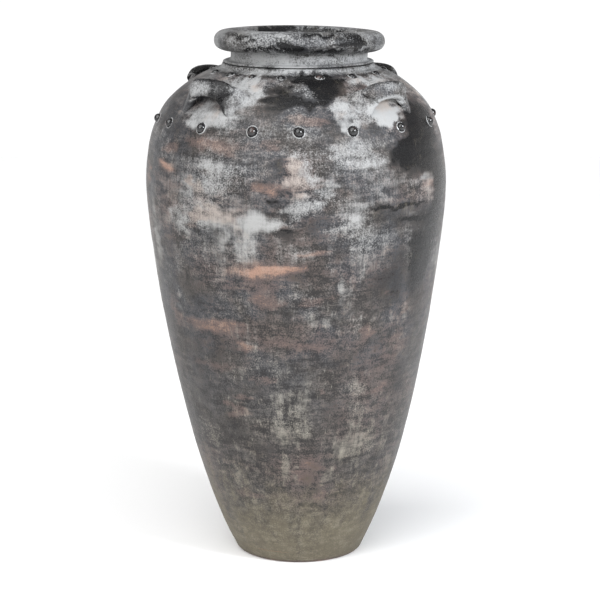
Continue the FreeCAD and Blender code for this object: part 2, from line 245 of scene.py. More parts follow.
class JarSizes(bpy.types.PropertyGroup):
    """Sizes of the body, neck, collar and rim."""

    belly_radius: a_length("Belly radius", "Largest radius of the body", CAD_BOX[1].x)
    belly_height: a_length("Belly height", "Height of the largest radius", 0.8)
    foot_radius: a_length("Foot radius", "Radius of the flat foot", 0.1305)
    foot_edge: a_length("Foot edge", "Round of the foot's worn edge", 0.006)
    foot_joint: a_length("Foot joint", "Height of the first joint outside", 0.026)
    shoulder_joint: a_length("Shoulder joint", "Height of the last joint outside", 0.888)
    joint_slope: an_angle("Joint slope", "How steeply the joints drop outwards", 20.0)
    shoulder_height: a_length("Neck seat", "Height at which the neck sits", 1.028)
    shoulder_top_radius: a_length("Neck seat radius", "Radius of the neck's seat", 0.15)
    wall: a_length("Wall", "Thickness of the wall", 0.022)
    floor: a_length("Floor", "Thickness of the floor", 0.032)
    bore_radius: a_length("Bore radius", "Inside radius of the neck", 0.12)
    neck_radius: a_length("Neck radius", "Outside radius of the neck", 0.14)
    neck_root_radius: a_length("Neck root radius", "Radius under the flange", 0.148)
    neck_top: a_length("Neck top", "Height of the neck's outer top edge", 1.0575)
    flange_radius: a_length("Flange radius", "Radius of the flange's edge", 0.1545)
    flange_underside: a_length("Flange underside", "Height of the flange's underside", 1.0365)
    flange_rise: a_length("Flange rise", "Height of the flange's slope", 0.006)
    collar_groove: a_length("Groove", "Gap between flange and collar", 0.002)
    collar_top_radius: a_length("Collar top radius", "Radius of the collar's top edge", 0.155)
    collar_radius: a_length("Collar radius", "Radius of the collar's lower edge", 0.1715)
    collar_drop: a_length("Collar drop", "Height of the collar's slope", 0.012)
    rim_radius: a_length("Rim radius", "Largest radius of the rim", 0.1745)
    height: a_length("Height", "Height of the jar", CAD_BOX[1].z)
    columns: IntProperty(name="Columns", description="Faces round the jar", default=512, min=64, max=1024)
    row_height: a_length("Row height", "Height of a face outside", 0.0036)


class StrapSizes(bpy.types.PropertyGroup):
    """Sizes of the strap handles."""

    half_span: a_length("Half span", "From the strap's middle to its root", 0.068)
    reach: a_length("Reach", "From the jar's axis to the strap's middle", 0.2635)
    drop: a_length("Drop", "From the strap's middle down to its root", 0.039)
    draw_in: a_length("Draw-in", "From the strap's middle in to its root", 0.023)
    thickness: a_length("Thickness", "Thickness of the strap", 0.017)
    width: a_length("Width", "Width at the middle", 0.035)
    root_width: a_length("Root width", "Width at the roots", 0.054)
    lean: an_angle("Lean", "How far the middle faces up", 20.0)
    root_lean: an_angle("Root lean", "How far the roots face up", 46.0)


class PelletSizes(bpy.types.PropertyGroup):
    """Sizes of the two rows of pellets."""

    shoulder_radius: a_length("Shoulder pellet", "Radius of a shoulder pellet", 0.0096)
    shoulder_rise: a_length("Shoulder rise", "How far it stands out", 0.0094)
    shoulder_height: a_length("Shoulder row", "Height of the row", 0.925)
    neck_radius: a_length("Neck pellet", "Radius of a neck pellet", 0.0078)
    neck_rise: a_length("Neck rise", "How far it stands out", 0.0046)
    neck_height: a_length("Neck row", "Height of the row", 1.02)
    seat: a_length("Seat", "How deep a pellet sits in the wall", 0.003)


class FinishColours(bpy.types.PropertyGroup):
    """Colours of the clay and its paint."""

    charcoal: a_colour("Charcoal", "Rubbed dark paint, warm side", (0.043, 0.038, 0.035))
    slate: a_colour("Slate", "Rubbed dark paint, cool side", (0.044, 0.045, 0.050))
    # Soot: thick black paint, also used as painted shade in the creases and on the straps' inner faces
    soot_and_shade: a_colour("Soot", "Thick black paint", (0.006, 0.006, 0.0065))
    wash: a_colour("Wash", "Pale lime wash, cool side", (0.335, 0.339, 0.340))
    cream: a_colour("Cream", "Pale wash, warm side", (0.355, 0.316, 0.290))
    rust: a_colour("Rust", "Fired clay that shows through", (0.36, 0.215, 0.155))
    mauve: a_colour("Mauve", "Clay under thin dark paint", (0.112, 0.082, 0.074))
    khaki: a_colour("Khaki", "Dusty wash at the foot", (0.136, 0.118, 0.083))
    raw: a_colour("Raw clay", "Unpainted clay inside", (0.27, 0.16, 0.105))


class StudioPlaces(bpy.types.PropertyGroup):
    """Camera and light."""

    camera_distance: a_length("Camera distance", "From the jar's axis", 4.354)
    camera_height: a_length("Camera height", "Eye level", 1.446)
    aim_height: a_length("Aim height", "Height that the camera looks at", 0.535)
    lens: a_number("Lens", "Focal length in millimetres on a 36 mm sensor", 126.9)
    axis_shift: a_number("Shift", "Share of the frame that the jar stands left of its middle", 2.5 / 600)
    sweep: a_number("Sweep", "Brightness of the white sweep behind the jar", 1.06)
    ceiling: a_number("Ceiling", "Brightness of the room over it", 0.32)
    lamp: a_number("Broad lamp", "Strength of the broad soft lamp", 2.95)


# Curves and outlines

def lengths_along(points):
    """Length of the line through points, from the first to each."""
    return np.concatenate([[0.0], np.cumsum(np.linalg.norm(np.diff(points, axis=0), axis=1))])


def spline_through(points):
    """Smooth curve through points, as a function of shares from 0 to 1.

    Between two points each coordinate is a cubic in the length of the chords passed so far. The cubics
    join with equal slope and curvature, and the curvature is nought at both ends.
    """
    points = np.asarray(points, float)
    knots = lengths_along(points)
    steps = np.diff(knots)
    matrix = np.eye(len(points))
    inner = np.arange(1, len(points) - 1)
    matrix[inner, inner - 1] = steps[:-1]
    matrix[inner, inner] = 2 * (steps[:-1] + steps[1:])
    matrix[inner, inner + 1] = steps[1:]
    right = np.zeros_like(points)
    right[1:-1] = 6 * np.diff(np.diff(points, axis=0) / steps[:, None], axis=0)
    bend = np.linalg.solve(matrix, right)

    def place(shares):
        along = np.asarray(shares) * knots[-1]
        i = np.clip(np.searchsorted(knots, along) - 1, 0, len(steps) - 1)
        step = steps[i][..., None]
        before = (knots[i + 1] - along)[..., None] / step
        after = 1 - before
        curve = (before ** 3 - before) * bend[i] + (after ** 3 - after) * bend[i + 1]
        return before * points[i] + after * points[i + 1] + curve * step ** 2 / 6

    return place


def even_rows(table, spacing, start=0.0, end=None):
    """Points of a finely sampled line, evenly spaced between two lengths along it."""
    table = np.asarray(table, float)
    lengths = lengths_along(table)
    end = lengths[-1] if end is None else end
    count = max(int(round(abs(end - start) / spacing)), 1) + 1
    along = np.linspace(start, end, count)
    return np.stack([np.interp(along, lengths, column) for column in table.T], axis=1)


def sampled(points, spacing):
    """Evenly spaced points on the smooth curve through given points."""
    return even_rows(spline_through(points)(np.linspace(0, 1, CURVE_STEPS)), spacing)


class BodyOutline:
    """Outer and inner face of the body in section, as finely sampled lines of radius and height."""

    def __init__(self, sizes):
        self.sizes = sizes
        foot, belly, top = sizes.foot_radius, sizes.belly_radius, sizes.shoulder_top_radius
        middle, rise = sizes.belly_height, sizes.shoulder_height - sizes.belly_height
        knots = [(foot + (belly - foot) * out, middle * up) for up, out in LOWER_SHARES]
        knots += [(top + (belly - top) * out, middle + rise * up) for up, out in UPPER_SHARES]
        fine = np.linspace(0, 1, 2 * CURVE_STEPS)
        self.outer = spline_through(knots)(fine)
        slopes = np.gradient(self.outer, axis=0)
        slopes /= np.linalg.norm(slopes, axis=1)[:, None]
        self.normals = np.stack([slopes[:, 1], -slopes[:, 0]], axis=1)
        nearest = [np.argmin(np.linalg.norm(self.outer - knot, axis=1)) for knot in knots]
        inset = [self.outer[i] - self.normals[i] * sizes.wall for i in nearest]
        inset.append((sizes.bore_radius, sizes.shoulder_height))
        self.inner = spline_through(inset)(fine)

    def radius(self, height):
        """Radius of the outer face at a height."""
        return np.interp(height, self.outer[:, 1], self.outer[:, 0])

    def normal(self, height):
        """Direction out of the outer face at a height, as parts along the radius and up."""
        return [np.interp(height, self.outer[:, 1], column) for column in self.normals.T]

    def length_at(self, line, height):
        """Length along a face at which it first reaches a height, which may differ from point to point."""
        return lengths_along(line)[np.argmax(line[:, 1] >= height)]

    def joint_lengths(self, height):
        """Lengths along the outer and the inner face at which a joint that drops outwards meets them."""
        rise = (self.radius(height) - self.inner[:, 0]) * math.tan(self.sizes.joint_slope)
        return self.length_at(self.outer, height), self.length_at(self.inner, height + rise)


# The hand in the clay

def smooth_step(low, high, value):
    """Nought below low and one above high, with 3t^2 - 2t^3 between them."""
    share = np.clip((value - low) / (high - low), 0, 1)
    return share * share * (3 - 2 * share)


def wander(azimuth, height, cells_round, cell_height, seed):
    """Smooth random field between -1 and 1 that closes round the jar.

    Random values stand on a lattice, with cells_round cells round the jar and a row every cell_height.
    Between them they are blended both ways by 3t^2 - 2t^3.
    """
    rows = int(LATTICE_HEIGHT / cell_height) + 3
    lattice = np.random.default_rng(seed).uniform(-1, 1, (rows, cells_round))
    column = np.asarray(azimuth) / (2 * np.pi) * cells_round
    row = (np.asarray(height) + LATTICE_DEPTH) / cell_height
    i, j = np.floor(row).astype(int), np.floor(column).astype(int)
    up, along = smooth_step(0, 1, row - i), smooth_step(0, 1, column - j)
    i = np.clip(i, 0, rows - 2)
    j, k = j % cells_round, (j + 1) % cells_round
    below = lattice[i, j] * (1 - along) + lattice[i, k] * along
    above = lattice[i + 1, j] * (1 - along) + lattice[i + 1, k] * along
    return below * (1 - up) + above * up


def hand_marks(azimuth, height):
    """How far the outer skin stands out: broad dents, knuckle lumps and the ridges of a drawn hand.

    Three random fields: cells of about 130 mm, cells of about 35 mm, and flat cells 9 mm high that run
    a sixth of the way round.
    """
    dents = wander(azimuth, height, 15, 0.13, 11)
    lumps = wander(azimuth, height, 55, 0.035, 12)
    ridges = wander(azimuth, height, 6, 0.009, 13)
    return 0.0009 * dents + 0.0003 * lumps + 0.00022 * ridges


def thrown(azimuth, radius, height):
    """Place of a point given by azimuth, radius and height on the jar as the hand made it.

    The radius swells by slow waves round the jar that turn with height, the axis wanders sideways by
    height, and the rim is lifted in front and let down behind by waves once and twice round.
    """
    swell = sum(deep * np.sin(waves * azimuth + turn * height + start) for deep, waves, turn, start in SWELLS)
    radius = radius + swell * smooth_step(0.0, 0.06, radius)
    lean = np.interp(height, *np.array(LEAN).T)
    lift = 0.0015 + 0.0046 * np.cos(azimuth) + 0.0015 * np.cos(2 * azimuth) - 0.0016 * np.sin(azimuth)
    lift = lift * smooth_step(1.042, 1.068, height)
    return np.stack([radius * np.sin(azimuth) + lean, -radius * np.cos(azimuth), height + lift], axis=-1)


# The finish, laid on as amounts that the paint's nodes read

def all_marks(table, seed, count):
    """A table's marks in metres and shares, and a count of marks strewn at random over sides and back."""
    draw = np.random.default_rng(seed)
    marks = [(turn, up / 1000, wide / 1000, tall / 1000, strength / 100)
             for turn, up, wide, tall, strength in table]
    return marks + [
        (draw.uniform(80, 280), draw.uniform(0.15, 1.0), draw.uniform(0.02, 0.07),
         draw.uniform(0.010, 0.045), draw.uniform(0.2, 0.75))
        for _ in range(count)
    ]


def mark_field(marks, azimuth, height, radius):
    """Sum of rubbed marks: each is full near its place and fades out over an ellipse round it."""
    total = np.zeros_like(azimuth)
    for degrees, mark_height, breadth, tall, strength in marks:
        turn = (azimuth - math.radians(degrees) + np.pi) % (2 * np.pi) - np.pi
        distance = np.hypot(turn * radius / breadth, (height - mark_height) / tall)
        total += strength * (1 - smooth_step(0.42, 1.36, distance))
    return total


def paint_amounts(azimuth, height, radius):
    """Amounts of pale wash, soot, rust and khaki on the outer skin.

    Each is a level plus random fields, horizontal strokes on the shoulder and drips below, plus the
    marks. The marks' places are first pushed about by random fields, so that their edges wander. Two
    pale marks on the right shoulder are a painted sheen, and dark lines under the collar's foot and in
    the flange's groove are painted shade.
    """
    azimuth, height, radius = [field.astype(float) for field in np.broadcast_arrays(azimuth, height, radius)]

    def field(cells_round, cell_height, seed):
        return wander(azimuth, height, cells_round, cell_height, seed)

    upper = smooth_step(0.5, 0.8, height)
    low = 1 - smooth_step(0.45, 0.70, height)
    neck = smooth_step(1.019, 1.027, height)
    above_flange = smooth_step(1.036, 1.042, height)
    rim = smooth_step(1.056, 1.062, height)
    # Painted shade: dark lines in the crease under the collar's foot and in the groove under the flange,
    # taken from the wash and added to the black
    crevice_shade = np.exp(-((height - COLLAR_FOOT) / 0.0022) ** 2) + np.exp(-((height - GROOVE) / 0.0026) ** 2)

    push_round = 0.010 * field(48, 0.03, 21) + 0.006 * field(130, 0.012, 22) + 0.004 * field(250, 0.0075, 38)
    brushed_round = 0.018 * field(30, 0.008, 23)
    push_up = 0.007 * field(40, 0.035, 24) + 0.004 * field(120, 0.013, 25) + 0.0012 * field(230, 0.008, 39)
    brushed_down = 0.010 * field(150, 0.09, 26) + 0.008 * field(380, 0.05, 37)
    pushed = azimuth + (push_round + brushed_round * upper) / radius
    pushed_height = height + push_up + brushed_down * (1 - 0.7 * upper)
    # The pale marks include a painted sheen on the right shoulder
    pale = mark_field(all_marks(PALE_AND_SHEEN_MARKS, 31, 40), pushed, pushed_height, radius)
    dark = mark_field(all_marks(DARK_MARKS, 32, 34), pushed, pushed_height, radius)
    pushed = azimuth + (push_round + brushed_round) / radius
    rust = mark_field(all_marks(RUST_MARKS, 33, 26), pushed, height + push_up, radius)

    strokes = field(9, 0.011, 27) * upper
    drips = field(190, 0.14, 28) * (1 - smooth_step(0.70, 0.82, height))
    clouds = field(14, 0.11, 29) + 0.7 * field(34, 0.05, 30)
    wash = 0.17 - 0.17 * low + 0.15 * clouds + 0.07 * strokes + 0.15 * drips
    wash = wash + 0.34 * neck + 0.17 * above_flange - 0.29 * rim
    wash = wash + (0.86 - 0.40 * low) * pale - 0.42 * dark - 0.3 * crevice_shade
    soot_and_shade = 0.06 + 0.09 * field(18, 0.08, 31) + 0.80 * dark - 0.5 * pale
    soot_and_shade = soot_and_shade + 0.10 * rim + (0.45 + 0.35 * field(40, 0.5, 36)) * crevice_shade
    worn_edge = 1 - smooth_step(0.001, 0.007, height)
    rust = 0.85 * rust + 0.17 - 0.06 * low + 0.20 * field(11, 0.07, 32) - 0.45 * neck + 0.7 * worn_edge
    edge = 0.085 + 0.03 * field(20, 0.4, 33) + 0.03 * field(90, 0.4, 34)
    khaki = 1 - smooth_step(-0.08, 0.20, height - edge) + 0.16 * field(60, 0.03, 35) - 0.9 * worn_edge
    return {"wash": wash, "soot_and_shade": soot_and_shade, "rust": rust, "khaki": khaki}


# Meshes

def grid_faces(rows, columns, close_rows):
    """Four-cornered faces of a grid that closes round its columns, and round its rows if asked."""
    i = np.arange(rows if close_rows else rows - 1)[:, None]
    j = np.arange(columns)[None, :]
    below, above, after = i * columns, (i + 1) % rows * columns, (j + 1) % columns
    corners = np.broadcast_arrays(below + j, below + after, above + after, above + j)
    return np.stack(corners, axis=-1).reshape(-1, 4)


def placed(name, data):
    """New object of some data, in the scene."""
    made = bpy.data.objects.new(name, data)
    bpy.context.scene.collection.objects.link(made)
    return made


def mesh_piece(name, points, faces, amounts, materials, material_of_face=None):
    """New object from points, faces and named amounts at its points, at the origin."""
    mesh = bpy.data.meshes.new(name)
    mesh.from_pydata(points.reshape(-1, 3), [], faces)
    for amount_name, values in amounts.items():
        layer = mesh.attributes.new(amount_name, "FLOAT", "POINT")
        layer.data.foreach_set("value", np.asarray(values, np.float32).ravel())
    for material in materials:
        mesh.materials.append(material)
    if material_of_face is not None:
        mesh.polygons.foreach_set("material_index", np.asarray(material_of_face, np.int32))
    mesh.polygons.foreach_set("use_smooth", np.ones(len(mesh.polygons), bool))
    mesh.update()
    mesh.set_sharp_from_angle(angle=math.radians(SHARP_ANGLE))
    return placed(name, mesh)


def capped_tube(name, points, amounts, material, turned=False):
    """Piece of rings of places with a cap on both ends. If turned, each face shows its other side."""
    rows, columns = points.shape[:2]
    ring = np.arange(columns)
    order = slice(None, None, -1 if turned else 1)
    caps = [ring[::-1][order].tolist(), ((rows - 1) * columns + ring)[order].tolist()]
    faces = grid_faces(rows, columns, False)[:, order].tolist()
    return mesh_piece(name, points, faces + caps, amounts, [material])


def stand_for(piece, node):
    """The piece rides on the jar's one body and takes its node's place."""
    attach(piece, BODY)
    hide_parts(node)


def round_azimuths(columns):
    """Azimuths of a ring's columns, as one row."""
    return np.arange(columns)[None, :] * 2 * np.pi / columns


def painted_face(profile, azimuths, marks=1.0):
    """Painted stretch: the profile's rows turned round the jar, with a share of the hand's marks."""
    radius, height = profile[:, :1], profile[:, 1:]
    places = thrown(azimuths, radius + hand_marks(azimuths, height) * marks, height)
    return places, paint_amounts(azimuths, height, radius)


def inner_skin(profile, azimuths):
    """Grid of places on an inside face, with the ridges that the drawn fingers left.

    Two random fields: flat cells 16 mm high that run a fifth of the way round, and cells of about 70 mm.
    """
    radius, height = profile[:, :1], profile[:, 1:]
    ridges = 0.0009 * wander(azimuths, height, 5, 0.016, 41) + 0.0012 * wander(azimuths, height, 24, 0.07, 42)
    return thrown(azimuths, radius + ridges * smooth_step(0.02, 0.08, radius), height)


# The nodes of the finish

class Nodes:
    """Short calls for building the node tree of one material or world."""

    def __init__(self, owner, shader="Principled BSDF"):
        owner.use_nodes = True
        self.owner, self.tree = owner, owner.node_tree
        self.shader = self.tree.nodes[shader]
        self.places = self.tree.nodes.new("ShaderNodeTexCoord").outputs

    def fill(self, node, values):
        """Links or sets a node's sockets, by name or number."""
        for socket, value in values.items():
            if isinstance(value, bpy.types.NodeSocket):
                self.tree.links.new(value, node.inputs[socket])
            else:
                node.inputs[socket].default_value = value

    def put(self, kind, values, output=0, **settings):
        """Output of a new node of a kind, with its filled sockets and its settings."""
        node = self.tree.nodes.new(kind)
        for key, value in settings.items():
            setattr(node, key, value)
        self.fill(node, values)
        return node.outputs[output]

    def amount(self, name):
        """Amount that the mesh carries at its points."""
        return self.put("ShaderNodeAttribute", {}, "Fac", attribute_name=name)

    def noise(self, scale, detail=2.0, stretch=(1, 1, 1), roughness=0.5):
        """Random field between 0 and 1. The scale is how many of its cells go to a metre."""
        place = self.put("ShaderNodeMapping", {"Vector": self.places["Object"], "Scale": stretch})
        values = {"Vector": place, "Scale": scale, "Detail": detail, "Roughness": roughness}
        return self.put("ShaderNodeTexNoise", values)

    def sum(self, total, *weighted):
        """First value, plus the weighted distance from its centre of each (value, weight, centre)."""
        for value, weight, centre in weighted:
            offset = self.put("ShaderNodeMath", {0: value, 1: -centre}, operation="ADD")
            total = self.put("ShaderNodeMath", {0: offset, 1: weight, 2: total}, operation="MULTIPLY_ADD")
        return total

    def times(self, first, second):
        return self.put("ShaderNodeMath", {0: first, 1: second}, operation="MULTIPLY")

    def step(self, value, low, high, start=0.0, end=1.0):
        """Start below low and end above high, with 3t^2 - 2t^3 between them."""
        values = {"Value": value, 1: low, 2: high, 3: start, 4: end}
        return self.put("ShaderNodeMapRange", values, interpolation_type="SMOOTHSTEP")

    def blend(self, share, first, second):
        """Colour between two colours."""
        values = {0: share}
        for socket, value in ((6, first), (7, second)):
            values[socket] = value if isinstance(value, bpy.types.NodeSocket) else (*value, 1.0)
        return self.put("ShaderNodeMix", values, 2, data_type="RGBA")

    def finish(self, colour, roughness, relief, depth, specular=0.5):
        """The owner, with its shader filled and the relief as bumps of a depth."""
        bump = self.put("ShaderNodeBump", {"Height": relief, "Distance": depth, "Strength": 1.0})
        sockets = {"Base Color": colour, "Roughness": roughness, "Normal": bump}
        self.fill(self.shader, {**sockets, "Specular IOR Level": specular})
        return self.owner


def rubbed_paint(colours):
    """Dark paint rubbed through to a pale wash and to the fired clay.

    The wash, the rust, the soot and the khaki each show where their amount, stirred by fine grain,
    blotches and strokes, passes a threshold. The wash also shows a painted sheen on the right shoulder,
    and the soot also shows painted shade in the creases and on the straps' inner faces.
    """
    nodes = Nodes(bpy.data.materials.new("rubbed_paint"))
    noise, step, total, blend, times = nodes.noise, nodes.step, nodes.sum, nodes.blend, nodes.times
    grain = noise(330, 3.0, roughness=0.65)
    speck = noise(560, 1.0)
    blotch = noise(75, 3.0, roughness=0.6)
    patch = noise(32, 3.0, roughness=0.55)
    cloud = noise(14, 3.0, roughness=0.55)
    strokes = noise(22, 3.0, (1, 1, 5), 0.55)
    threads = noise(240, 2.0, (1, 1, 0.05), 0.6)
    height = nodes.put("ShaderNodeSeparateXYZ", {0: nodes.places["Object"]}, "Z")
    coarseness = step(noise(8, 2.0, (1, 1, 1.6)), 0.38, 0.62, 0.15, 1.15)
    coarseness = total(coarseness, (step(height, 0.93, 1.03), 1.1, 0.0))

    coolness = times(step(cloud, 0.38, 0.62), step(height, 0.25, 0.60, 0.2, 1.0))
    dark = blend(coolness, colours.charcoal, colours.slate)
    tone = total(grain, (blotch, 0.5, 0.5), (strokes, 0.5, 0.5), (patch, 0.5, 0.5))
    dark = blend(step(tone, 0.42, 0.85, 0.0, 0.5), dark, GREY_DUST)
    dark = blend(step(tone, 0.54, 0.28, 0.0, 0.8), dark, DEEP_SHADE)

    rust_level = total(nodes.amount("rust"), (strokes, 0.9, 0.5), (blotch, 0.8, 0.5), (grain, 1.3, 0.5))
    mauve = blend(step(rust_level, 0.05, 0.60, 0.0, 0.85), dark, colours.mauve)
    rusty = blend(step(rust_level, 0.55, 1.30, 0.0, 0.75), mauve, colours.rust)

    # Its amount holds painted shade as well as black paint
    soot_and_shade_level = total(nodes.amount("soot_and_shade"), (blotch, 0.9, 0.5), (grain, 0.9, 0.5), (strokes, 0.5, 0.5))
    soot_and_shade_share = step(soot_and_shade_level, 0.25, 0.80, 0.0, 0.96)
    sooty_and_shaded = blend(soot_and_shade_share, rusty, colours.soot_and_shade)

    cream_level = total(cloud, (nodes.amount("rust"), 0.6, 0.22))
    pale = blend(step(cream_level, 0.50, 0.66), colours.wash, colours.cream)
    pale = blend(step(height, 0.95, 0.10, 0.0, 0.95), pale, LOW_WASH)
    scratches = step(height, 0.75, 0.35, 0.04, 0.24)
    wash_level = total(
        nodes.amount("wash"), (grain, times(coarseness, 1.3), 0.5), (speck, times(coarseness, 0.45), 0.5),
        (blotch, 0.45, 0.5), (strokes, 0.5, 0.5), (threads, 0.5, 0.5), (patch, 0.55, 0.5),
        (step(threads, 0.62, 0.74), scratches, 0.0))
    wash_share = step(wash_level, 0.06, 0.95, 0.0, 0.96)
    washed = blend(wash_share, sooty_and_shaded, pale)

    khaki_level = total(nodes.amount("khaki"), (blotch, 0.7, 0.5), (grain, 0.6, 0.5), (threads, 0.5, 0.5))
    khaki_share = step(khaki_level, 0.05, 1.05, 0.0, 0.94)
    khaki = blend(step(tone, 0.58, 0.34, 0.0, 0.5), colours.khaki, KHAKI_SHADE)
    khaki = blend(step(tone, 0.52, 0.72, 0.0, 0.35), khaki, KHAKI_DUST)
    dusty = blend(khaki_share, washed, khaki)

    rough = step(wash_share, 0.0, 1.0, 0.39, 0.66)
    rough = total(rough, (grain, 0.3, 0.5), (khaki_share, 0.2, 0.0), (soot_and_shade_share, -0.14, 0.0))
    relief = total(times(wash_share, 0.35), (grain, 0.9, 0.0), (strokes, 1.0, 0.0), (blotch, 0.8, 0.0))
    return nodes.finish(dusty, rough, relief, CLAY_RELIEF, 0.24)


def raw_clay(colours):
    """Fired clay that was never painted: sandy, with finger ridges and a greyer, dusty bloom."""
    nodes = Nodes(bpy.data.materials.new("raw_clay"))
    grain = nodes.noise(420, 3.0, roughness=0.7)
    cloud = nodes.noise(12, 4.0, roughness=0.6)
    ridges = nodes.noise(20, 3.0, (0.4, 0.4, 6))
    tone = nodes.sum(cloud, (grain, 0.6, 0.5), (ridges, 0.4, 0.5))
    clay = nodes.blend(nodes.step(tone, 0.35, 0.7), colours.raw, colours.mauve)
    dusty = nodes.blend(nodes.step(tone, 0.55, 0.8, 0.0, 0.5), clay, colours.khaki)
    rough = nodes.step(grain, 0.3, 0.7, 0.8, 0.95)
    return nodes.finish(dusty, rough, nodes.sum(grain, (ridges, 1.2, 0.5)), CLAY_RELIEF)


def glossy_pellet(colours):
    """Burnished black pellet, with broken pale wash round its foot."""
    nodes = Nodes(bpy.data.materials.new("glossy_pellet"))
    grain = nodes.noise(500, 2.0)
    cloud = nodes.noise(60, 2.0)
    black = nodes.blend(nodes.step(cloud, 0.55, 0.70), colours.soot_and_shade, PELLET_BROWN)
    skirt = nodes.sum(nodes.amount("skirt"), (grain, 1.6, 0.5), (cloud, 2.2, 0.5))
    share = nodes.step(skirt, 0.62, 1.00, 0.0, 0.88)
    colour = nodes.blend(share, black, colours.wash)
    rough = nodes.sum(nodes.step(share, 0.0, 1.0, 0.14, 0.6), (grain, 0.06, 0.5))
    return nodes.finish(colour, rough, grain, PELLET_RELIEF, 0.7)


def shared_material(make):
    """Material that a maker gives, made once."""
    return bpy.data.materials.get(make.__name__) or make(bpy.context.scene.jar_colours)


# Pieces of the jar

def stacked(stretches):
    """Stretches, each a grid of places with its amounts, laid one after the other."""
    points = np.concatenate([grid for grid, _ in stretches])
    amounts = {
        key: np.concatenate([np.broadcast_to(found[key], grid.shape[:2]) for grid, found in stretches])
        for key in stretches[0][1]
    }
    return points, amounts


def closed_ring(name, stretches, materials):
    """Ring whose section is a closed line of stretches.

    Faces run from row to row through all stretches and back to the first. A second material takes all
    that comes after the first stretch.
    """
    points, amounts = stacked(stretches)
    rows, columns = points.shape[:2]
    second = np.repeat(np.arange(rows) >= len(stretches[0][0]) - 1, columns) if materials[1:] else None
    return mesh_piece(name, points, grid_faces(rows, columns, True), amounts, materials, second)


def build_zone(name, outline, low, high, azimuths, materials):
    """Zone of wall between two joints: outer face up, joint in, inner face down, joint out."""
    spacing = outline.sizes.row_height
    outer = painted_face(even_rows(outline.outer, spacing, low[0], high[0]), azimuths)
    inner = inner_skin(even_rows(outline.inner, spacing * 3, high[1], low[1]), azimuths), NO_PAINT
    return closed_ring(name, [outer, inner], materials)


def build_foot(name, outline, high, azimuths, materials):
    """Foot slab: a disc with a worn edge.

    Its section runs round the edge and up the outer face, back over the joint and the floor to the
    hub, and out again under the foot. Inside the hub each disc is one face.
    """
    sizes = outline.sizes
    edge, flat = sizes.foot_edge, sizes.foot_radius - sizes.foot_edge
    turn = np.linspace(0, np.pi / 2, 6)[:-1]
    worn = np.stack([flat + edge * np.sin(turn), edge - edge * np.cos(turn)], axis=1)
    outer = even_rows(outline.outer, sizes.row_height, outline.length_at(outline.outer, edge), high[0])
    joint = even_rows(outline.inner, DISC_SPACING, high[1], high[1])[:1]
    floor = even_rows([(joint[0, 0] - FLOOR_CORNER, sizes.floor), (HUB, sizes.floor)], DISC_SPACING)
    under = even_rows([(HUB, 0.0), (flat, 0.0)], DISC_SPACING)[:-1]
    bare = np.concatenate([joint, floor, under])
    points, amounts = stacked([
        painted_face(np.concatenate([worn, outer]), azimuths, marks=0.0),
        (thrown(azimuths, bare[:, :1], bare[:, 1:]), NO_PAINT),
    ])
    rows, columns = points.shape[:2]
    painted = len(worn) + len(outer)
    last_row = painted + len(floor)
    kept = np.arange(rows) != last_row
    faces = grid_faces(rows, columns, True).reshape(rows, columns, 4)[kept].reshape(-1, 4)
    bare_faces = np.repeat((np.arange(rows) >= painted - 1)[kept], columns)
    ring = np.arange(columns)
    caps = [(last_row * columns + ring).tolist(), ((last_row + 1) * columns + ring[::-1]).tolist()]
    return mesh_piece(name, points, faces.tolist() + caps, amounts, materials, [*bare_faces, 1, 1])


class JAR_OT_body(bpy.types.Operator):
    """Raises the foot slab, the six wall rings and the shoulder ring"""

    bl_idname = "jar.body"
    bl_label = "Raise the body"

    def execute(self, context):
        sizes = context.scene.jar_sizes
        outline = BodyOutline(sizes)
        azimuths = round_azimuths(sizes.columns)
        materials = [shared_material(rubbed_paint), shared_material(raw_clay)]
        heights = np.linspace(sizes.foot_joint, sizes.shoulder_joint, len(ZONES) - 1)
        joints = [outline.joint_lengths(height) for height in heights]
        top = [outline.length_at(line, sizes.shoulder_height) for line in (outline.outer, outline.inner)]
        foot = build_foot("foot_slab_painted", outline, joints[0], azimuths, materials)
        stand_for(foot, ZONES[0])
        for node, low, high in zip(ZONES[1:], joints, joints[1:] + [top]):
            piece = build_zone(node + "_painted", outline, low, high, azimuths, materials)
            stand_for(piece, node)
        return {"FINISHED"}


def build_painted_ring(node, outside, inside, azimuths, marks):
    """Closed ring, painted on its outside and on the face behind it."""
    stretches = [painted_face(profile, azimuths, marks) for profile in (outside, inside)]
    piece = closed_ring(node + "_painted", stretches, [shared_material(rubbed_paint)])
    stand_for(piece, node)


def build_neck(sizes, azimuths):
    """Ring from the shoulder's top to the rim, with the flange standing out of it."""
    radius, bore, root = sizes.neck_radius, sizes.bore_radius, sizes.neck_root_radius
    under, rise, seat = sizes.flange_underside, sizes.flange_rise, sizes.shoulder_height
    out = sizes.flange_radius - radius
    flange = [(radius + out * share, under + rise * up) for share, up in FLANGE_SHARES]
    outside = np.concatenate([
        even_rows([(root, seat), (root, under)], SPACING["neck_root"]),
        sampled(flange, SPACING["flange"]),
        even_rows([(radius, under + rise + FLANGE_STEP), (radius, sizes.neck_top)], SPACING["neck_face"]),
    ])
    top = sizes.neck_top + (radius - bore) * math.tan(sizes.joint_slope)
    inside = even_rows([(bore, top), (bore, seat)], SPACING["bore"])
    build_painted_ring("neck_ring", outside, inside, azimuths, marks=0.5)


